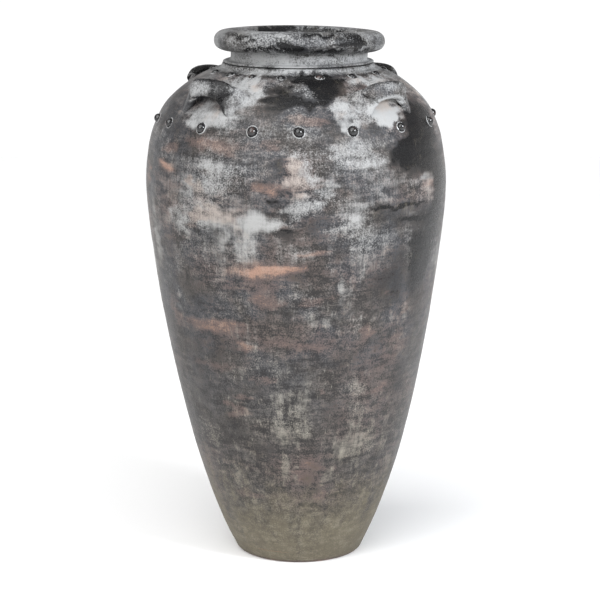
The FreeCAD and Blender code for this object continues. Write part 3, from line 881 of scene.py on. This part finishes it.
def build_collar(sizes, azimuths):
    """Sloping band whose underside follows the shoulder, sunk a little into it."""
    inner, outer, root = sizes.collar_top_radius, sizes.collar_radius, sizes.neck_root_radius
    top = sizes.flange_underside - sizes.collar_groove
    slope = sampled([(inner + (outer - inner) * share, top - sizes.collar_drop * down)
                     for share, down in COLLAR_SHARES], SPACING["collar_slope"])
    seat = BodyOutline(sizes).outer[::-1]
    radius, height = seat.T
    seat = seat[(radius > root) & (radius < outer + COLLAR_LIP) & (height > sizes.belly_height)]
    seat = even_rows(seat, SPACING["collar_seat"]) - [0.0, COLLAR_SINK]
    outside = np.concatenate([even_rows([(root, top), slope[0]], SPACING["collar_top"])[:-1], slope])
    build_painted_ring("collar_band", outside[::-1], seat, azimuths, marks=0.5)


class JAR_OT_neck(bpy.types.Operator):
    """Throws the neck with its flange, and lays the collar band round its foot"""

    bl_idname = "jar.neck"
    bl_label = "Throw the neck"

    def execute(self, context):
        sizes = context.scene.jar_sizes
        azimuths = round_azimuths(sizes.columns)
        build_neck(sizes, azimuths)
        build_collar(sizes, azimuths)
        return {"FINISHED"}


class JAR_OT_rim(bpy.types.Operator):
    """Rolls the rim"""

    bl_idname = "jar.rim"
    bl_label = "Roll the rim"

    def execute(self, context):
        sizes = context.scene.jar_sizes
        neck, bore, low = sizes.neck_radius, sizes.bore_radius, sizes.neck_top
        out, width, rise = sizes.rim_radius - neck, neck - bore, sizes.height - low
        knots = [(neck + out * share, low + rise * up) for share, up in RIM_OUTER_SHARES]
        knots += [(bore + width * share, low + rise * up) for share, up in RIM_INNER_SHARES]
        top = low + width * math.tan(sizes.joint_slope)
        seat = even_rows([(bore, top), (bore + width / 2, (top + low) / 2)], SPACING["rim_seat"])
        roll = sampled(knots, SPACING["rim"])
        build_painted_ring("rim_roll", roll, seat, round_azimuths(sizes.columns), marks=0.9)
        return {"FINISHED"}


def rub_strap(node, amounts, across, edge, face, ridge):
    """The strap's own paint, on top of the jar's.

    The front left one has a worn pale face on one side of its ridge and a black leg on the other. The
    rest have a dark top and a pale lower lip. On all, the inner face towards the wall carries painted
    shade under the arch. across runs along the strap from its middle, edge is -1 at its upper and 1 at
    its lower edge, and face is 1 where the section faces out and -1 to the wall.
    """
    wash, soot_and_shade = amounts["wash"], amounts["soot_and_shade"]
    outside = smooth_step(-0.2, 0.5, face)
    top = smooth_step(-0.35, -0.85, edge) * (1 - smooth_step(0.040, 0.056, np.abs(across)))
    if node == "handle_front_left":
        uneven = across + 0.007 * wander(edge + 2.0, across + 0.5, 24, 0.009, 52)
        leg = smooth_step(ridge - 0.014, ridge + 0.004, uneven)
        leg = leg * (1 - 0.7 * smooth_step(0.048, 0.066, across))
        far_end = smooth_step(-0.034, -0.052, uneven)
        face_wash = 0.45 * outside * (1 - leg) * (1 - far_end) * (1 - top)
        amounts["wash"] = wash * (0.5 - 0.2 * leg) + face_wash - 0.08 * leg - 0.15 * top
        # 0.4 * (1 - outside) is painted shade on the inner face, towards the wall
        amounts["soot_and_shade"] = soot_and_shade * 0.4 + 0.9 * leg + 0.4 * (1 - outside) + 0.6 * top + 0.25 * far_end
    else:
        lip = smooth_step(0.55, 0.95, edge) * smooth_step(-0.9, -0.2, face)
        pale_lip = 0.55 * lip * (1 - smooth_step(0.02, 0.05, np.abs(across)))
        amounts["wash"] = wash * 0.6 + 0.14 + pale_lip - 0.35 * top
        # 0.5 * (1 - outside) is painted shade on the inner face, towards the wall
        amounts["soot_and_shade"] = soot_and_shade * 0.6 + 0.10 + 0.5 * (1 - outside) - 0.5 * lip + 0.6 * top
    amounts["rust"] = amounts["rust"] - 0.2


def build_strap(node, sizes, degrees, middle, ridge):
    """Strap handle: a flattened round section carried along an arch.

    The arch runs through given stations from root to root. The section is a superellipse of power
    three, the strap's width by its thickness, and both widen into the wall at the roots. A thumbed
    ridge and a random field stand out of its outer face.
    """
    half = [
        (sizes.half_span * across, sizes.reach - sizes.draw_in * drawn, middle - sizes.drop * down, change)
        for across, down, drawn, change in STRAP_SHARES
    ]
    stations = [(-across, *rest) for across, *rest in half[::-1]] + half[1:]
    shares = np.linspace(0, 1, STRAP_ROWS)
    path = spline_through(stations)(shares)
    centre, change = path[:, :3], path[:, 3:]
    along = np.gradient(centre, axis=0)
    along /= np.linalg.norm(along, axis=1)[:, None]
    lean = sizes.lean + (sizes.root_lean - sizes.lean) * change
    plan = np.hypot(centre[:, :1], centre[:, 1:2])
    level = np.cos(lean) / plan
    outward = np.hstack([change * level * centre[:, :1], level * centre[:, 1:2], np.sin(lean)])
    outward -= along * np.sum(along * outward, axis=1)[:, None]
    outward /= np.linalg.norm(outward, axis=1)[:, None]
    across = np.cross(outward, along)

    around = round_azimuths(STRAP_COLUMNS)
    cos, sin = np.cos(around), np.sin(around)
    flat, deep = [np.sign(wave) * np.abs(wave) ** SECTION_POWER for wave in (cos, sin)]
    flare = 1 + ROOT_FLARE * smooth_step(0.62, 1.0, np.abs(2 * shares - 1))[:, None]
    width = (sizes.width + (sizes.root_width - sizes.width) * change) * flare
    crease = RIDGE_HEIGHT * np.exp(-np.abs(centre[:, :1] - ridge) / RIDGE_BREADTH)
    azimuth = math.radians(degrees)
    lumps = wander(azimuth + around * 0.2, centre[:, 2:3] + centre[:, :1] * 2, 40, 0.02, 51)
    thick = sizes.thickness / 2 * flare + LUMP_HEIGHT * lumps + crease * np.clip(sin, 0, 1)
    local = (
        centre[:, None, :] + across[:, None, :] * (width / 2 * flat)[..., None]
        + outward[:, None, :] * (thick * deep)[..., None]
    )
    turn = azimuth + np.arctan2(local[..., 0], local[..., 1])
    reach = np.hypot(local[..., 0], local[..., 1])
    amounts = paint_amounts(turn, local[..., 2], reach)
    rub_strap(node, amounts, local[..., 0], np.broadcast_to(flat, reach.shape), sin, ridge)
    points = thrown(turn, reach, local[..., 2])
    return capped_tube(node + "_painted", points, amounts, shared_material(rubbed_paint), turned=True)


class JAR_OT_handles(bpy.types.Operator):
    """Pulls the four strap handles over the shoulder"""

    bl_idname = "jar.handles"
    bl_label = "Pull the handles"

    def execute(self, context):
        for node, (degrees, middle, ridge) in STRAPS.items():
            piece = build_strap(node, context.scene.strap_sizes, degrees, middle, ridge)
            stand_for(piece, node)
        return {"FINISHED"}


def build_pellet(node, radius, rise, seat, degrees, height, outline, seed):
    """Pellet pressed on the wall: a round cap that turns out into a thin skirt of slip.

    The section is turned about the wall's normal. Its radius and rise vary a little by random shares,
    and its spread by a wave once and one twice round.
    """
    draw = np.random.default_rng(seed)
    radius, rise = radius * draw.uniform(0.94, 1.05), rise * draw.uniform(0.93, 1.05)
    centre = (rise * rise - radius * radius) / (2 * rise)
    sphere = rise - centre
    turn = np.linspace(TIP_SHARE, 1.0, CAP_ROWS)[::-1] * math.atan2(radius, -centre)
    cap = np.stack([sphere * np.sin(turn), centre + sphere * np.cos(turn)], axis=1)
    profile = np.concatenate([[(radius * EDGE_SHARE, -seat)], radius * np.array(SKIRT_SHARES), cap])
    around = round_azimuths(PELLET_COLUMNS)
    uneven = 1 + 0.03 * np.sin(around + draw.uniform(0, 6)) + 0.03 * np.sin(2 * around + draw.uniform(0, 6))
    spread = profile[:, :1] * uneven
    azimuth = math.radians(degrees)
    normal = outline.normal(height)
    foot = thrown(np.array(azimuth), outline.radius(height) + hand_marks(azimuth, height), np.array(height))
    sideways = np.array([math.cos(azimuth), math.sin(azimuth), 0.0])
    out = np.array([math.sin(azimuth) * normal[0], -math.cos(azimuth) * normal[0], normal[1]])
    up = np.cross(out, sideways)
    points = (
        foot + sideways * (spread * np.cos(around))[..., None] - up * (spread * np.sin(around))[..., None]
        + out * np.broadcast_to(profile[:, 1:], spread.shape)[..., None]
    )
    skirt = np.array(SKIRT_WASH + [0.0] * len(cap))[:, None]
    skirt = skirt + 0.12 * np.sin(around + draw.uniform(0, 6))
    return capped_tube(node + "_glossy", points, {"skirt": skirt}, shared_material(glossy_pellet))


class JAR_OT_pellets(bpy.types.Operator):
    """Presses on both rows of pellets"""

    bl_idname = "jar.pellets"
    bl_label = "Press on the pellets"

    def execute(self, context):
        sizes = context.scene.pellet_sizes
        outline = BodyOutline(context.scene.jar_sizes)
        for row, azimuths, first_seed in (("shoulder", SHOULDER_PELLETS, 100), ("neck", NECK_PELLETS, 200)):
            radius, rise, height = [getattr(sizes, row + size) for size in ("_radius", "_rise", "_height")]
            for i, degrees in enumerate(azimuths):
                node = "%s_stud_%02d" % (row, i + 1)
                piece = build_pellet(node, radius, rise, sizes.seat, degrees, height, outline, first_seed + i)
                stand_for(piece, node)
        return {"FINISHED"}


def studio_floor():
    """Wide pale floor under the jar."""
    mesh = bpy.data.meshes.new("studio_floor")
    corners = [(x * FLOOR_HALF, y * FLOOR_HALF, 0.0) for x, y in ((-1, -1), (1, -1), (1, 1), (-1, 1))]
    mesh.from_pydata(corners, [], [(0, 1, 2, 3)])
    nodes = Nodes(bpy.data.materials.new("studio_floor"))
    nodes.fill(nodes.shader, {"Base Color": FLOOR_COLOUR, "Roughness": FLOOR_ROUGHNESS})
    mesh.materials.append(nodes.owner)
    floor = placed("studio_floor", mesh)


def surroundings(scene, sweep, ceiling):
    """White sweep below eye level, and a dimmer room over it."""
    scene.world = bpy.data.worlds.new("studio")
    nodes = Nodes(scene.world, "Background")
    height = nodes.put("ShaderNodeSeparateXYZ", {0: nodes.places["Generated"]}, "Z")
    values = {"Value": height, 1: FADE_START, 2: FADE_END, 3: sweep, 4: ceiling}
    nodes.fill(nodes.shader, {"Color": WHITE, "Strength": nodes.put("ShaderNodeMapRange", values)})


def broad_lamp(strength):
    """Very soft light from above, in front and to the left, even over the whole floor."""
    light = bpy.data.lights.new("broad_lamp", "SUN")
    light.energy = strength
    light.angle = math.radians(LAMP_BREADTH)
    placed("broad_lamp", light).rotation_euler = (math.radians(LAMP_TILT), 0.0, math.radians(LAMP_TURN))


def softbox(name, place, size, power, colour):
    """Lit rectangle that faces the jar's upper body."""
    light = bpy.data.lights.new(name, "AREA")
    light.color = colour
    light.shape = "RECTANGLE"
    light.size, light.size_y = size
    light.energy = power
    lamp = placed(name, light)
    lamp.location = place
    x, y, z = np.array(SOFTBOX_AIM) - place
    lamp.rotation_euler = (math.atan2(math.hypot(x, y), -z), 0.0, math.atan2(y, x) - math.pi / 2)


def camera(scene, studio):
    """Camera in front of the jar at eye level, tilted down to its aim."""
    lens = bpy.data.cameras.new("camera")
    lens.sensor_width = 36.0
    lens.lens = studio.lens
    lens.shift_x = studio.axis_shift
    scene.camera = placed("camera", lens)
    scene.camera.location = (0.0, -studio.camera_distance, studio.camera_height)
    drop = math.atan2(studio.camera_height - studio.aim_height, studio.camera_distance)
    scene.camera.rotation_euler = (math.pi / 2 - drop, 0.0, 0.0)


class JAR_OT_stage(bpy.types.Operator):
    """Sets up the floor, the lights and the camera"""

    bl_idname = "jar.stage"
    bl_label = "Set the stage"

    def execute(self, context):
        scene, studio = context.scene, context.scene.studio_places
        studio_floor()
        surroundings(scene, studio.sweep, studio.ceiling)
        broad_lamp(studio.lamp)
        for name, settings in SOFTBOXES.items():
            softbox(name, *settings)
        camera(scene, studio)
        scene.view_settings.view_transform = "Standard"
        return {"FINISHED"}


class JAR_PT_panel(bpy.types.Panel):
    """Lists the steps in making the jar"""

    bl_idname = "JAR_PT_panel"
    bl_label = "Storage jar"
    bl_space_type = "VIEW_3D"
    bl_region_type = "UI"
    bl_category = "Jar"

    def draw(self, context):
        for operator in OPERATORS:
            self.layout.operator(operator.bl_idname)
        for group in GROUPS:
            values = getattr(context.scene, group)
            for name in values.bl_rna.properties.keys():
                if name not in ("name", "rna_type"):
                    self.layout.prop(values, name)


OPERATORS = [JAR_OT_body, JAR_OT_neck, JAR_OT_rim, JAR_OT_handles, JAR_OT_pellets, JAR_OT_stage]
GROUPS = {
    "jar_sizes": JarSizes, "strap_sizes": StrapSizes, "pellet_sizes": PelletSizes,
    "jar_colours": FinishColours, "studio_places": StudioPlaces,
}


def register():
    for group in GROUPS.values():
        bpy.utils.register_class(group)
    for name, group in GROUPS.items():
        setattr(bpy.types.Scene, name, PointerProperty(type=group))
    for operator in OPERATORS:
        bpy.utils.register_class(operator)
    bpy.utils.register_class(JAR_PT_panel)


def unregister():
    bpy.utils.unregister_class(JAR_PT_panel)
    for operator in reversed(OPERATORS):
        bpy.utils.unregister_class(operator)
    for name, group in GROUPS.items():
        delattr(bpy.types.Scene, name)
        bpy.utils.unregister_class(group)


def main():
    register()
    bpy.ops.jar.body()
    bpy.ops.jar.neck()
    bpy.ops.jar.rim()
    bpy.ops.jar.handles()
    bpy.ops.jar.pellets()
    bpy.ops.jar.stage()


if __name__ == "__main__":
    main()
